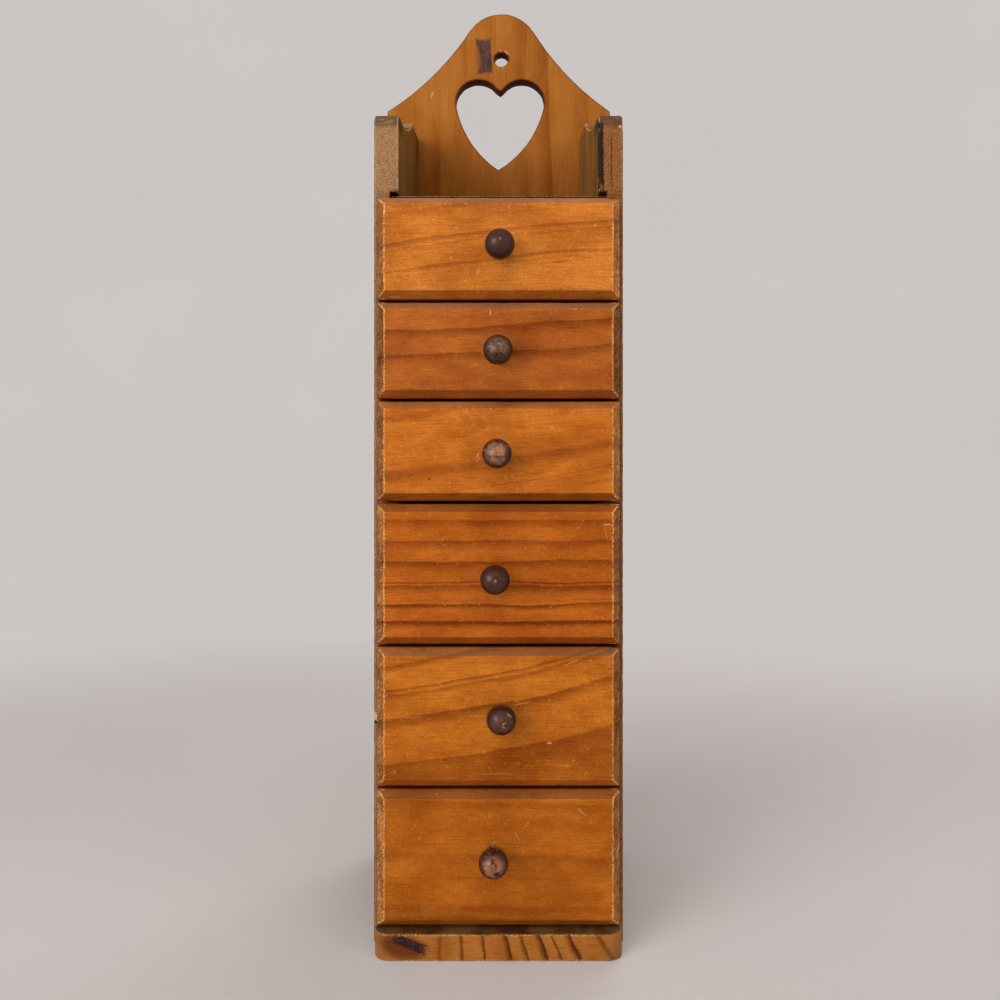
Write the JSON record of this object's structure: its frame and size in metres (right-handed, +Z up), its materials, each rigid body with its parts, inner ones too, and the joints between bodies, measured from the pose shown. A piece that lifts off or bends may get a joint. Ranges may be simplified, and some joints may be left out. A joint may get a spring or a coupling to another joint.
{
  "type": "spice cabinet",
  "caption": "Narrow pine spice cabinet with a column of drawers with turned knobs, an open tray, scrolled sides and a tall crest with a heart cut-out and a hang hole.",
  "frame": {"origin": "on the surface that it stands on, under the middle of the whole object, knobs included", "axes": "+Z up, the drawers open towards -Y, the back that goes to the wall faces +Y"},
  "size_m": [0.129, 0.1338, 0.4875],
  "materials": {
    "drawer_face_pine": "orange-brown stained pine, satin, worn pale along the bevels",
    "case_pine": "stained pine boards, satin, rubbed along the edges",
    "drawer_box_pine": "bare pine, unstained inside",
    "hardboard": "brown hardboard sheet, smooth face",
    "knob_wood": "dark walnut stained turned wood, satin, worn",
    "brad_steel": "dull steel wire"
  },
  "bodies": {
    "case": {"back_board": "case_pine", "left_side": "case_pine", "right_side": "case_pine", "base_board": "case_pine", "shelf_1": "hardboard", "shelf_2": "hardboard", "shelf_3": "hardboard", "shelf_4": "hardboard", "shelf_5": "hardboard", "top_shelf": "hardboard", "case_brads": "brad_steel"},
    "drawer_1": {"drawer_1_front": "drawer_face_pine", "drawer_1_left": "drawer_box_pine", "drawer_1_right": "drawer_box_pine", "drawer_1_back": "drawer_box_pine", "drawer_1_bottom": "hardboard", "drawer_1_knob": "knob_wood", "drawer_1_brads": "brad_steel"},
    "drawer_2": {"drawer_2_front": "drawer_face_pine", "drawer_2_left": "drawer_box_pine", "drawer_2_right": "drawer_box_pine", "drawer_2_back": "drawer_box_pine", "drawer_2_bottom": "hardboard", "drawer_2_knob": "knob_wood", "drawer_2_brads": "brad_steel"},
    "drawer_3": {"drawer_3_front": "drawer_face_pine", "drawer_3_left": "drawer_box_pine", "drawer_3_right": "drawer_box_pine", "drawer_3_back": "drawer_box_pine", "drawer_3_bottom": "hardboard", "drawer_3_knob": "knob_wood", "drawer_3_brads": "brad_steel"},
    "drawer_4": {"drawer_4_front": "drawer_face_pine", "drawer_4_left": "drawer_box_pine", "drawer_4_right": "drawer_box_pine", "drawer_4_back": "drawer_box_pine", "drawer_4_bottom": "hardboard", "drawer_4_knob": "knob_wood", "drawer_4_brads": "brad_steel"},
    "drawer_5": {"drawer_5_front": "drawer_face_pine", "drawer_5_left": "drawer_box_pine", "drawer_5_right": "drawer_box_pine", "drawer_5_back": "drawer_box_pine", "drawer_5_bottom": "hardboard", "drawer_5_knob": "knob_wood", "drawer_5_brads": "brad_steel"},
    "drawer_6": {"drawer_6_front": "drawer_face_pine", "drawer_6_left": "drawer_box_pine", "drawer_6_right": "drawer_box_pine", "drawer_6_back": "drawer_box_pine", "drawer_6_bottom": "hardboard", "drawer_6_knob": "knob_wood", "drawer_6_brads": "brad_steel"}
  },
  "joints": [
    {"name": "drawer_1_slide", "type": "slide", "parent": "case", "child": "drawer_1", "axis": [0, -1, 0], "range_m": [0, 0.08]},
    {"name": "drawer_2_slide", "type": "slide", "parent": "case", "child": "drawer_2", "axis": [0, -1, 0], "range_m": [0, 0.08]},
    {"name": "drawer_3_slide", "type": "slide", "parent": "case", "child": "drawer_3", "axis": [0, -1, 0], "range_m": [0, 0.08]},
    {"name": "drawer_4_slide", "type": "slide", "parent": "case", "child": "drawer_4", "axis": [0, -1, 0], "range_m": [0, 0.08]},
    {"name": "drawer_5_slide", "type": "slide", "parent": "case", "child": "drawer_5", "axis": [0, -1, 0], "range_m": [0, 0.08]},
    {"name": "drawer_6_slide", "type": "slide", "parent": "case", "child": "drawer_6", "axis": [0, -1, 0], "range_m": [0, 0.08]}
  ]
}
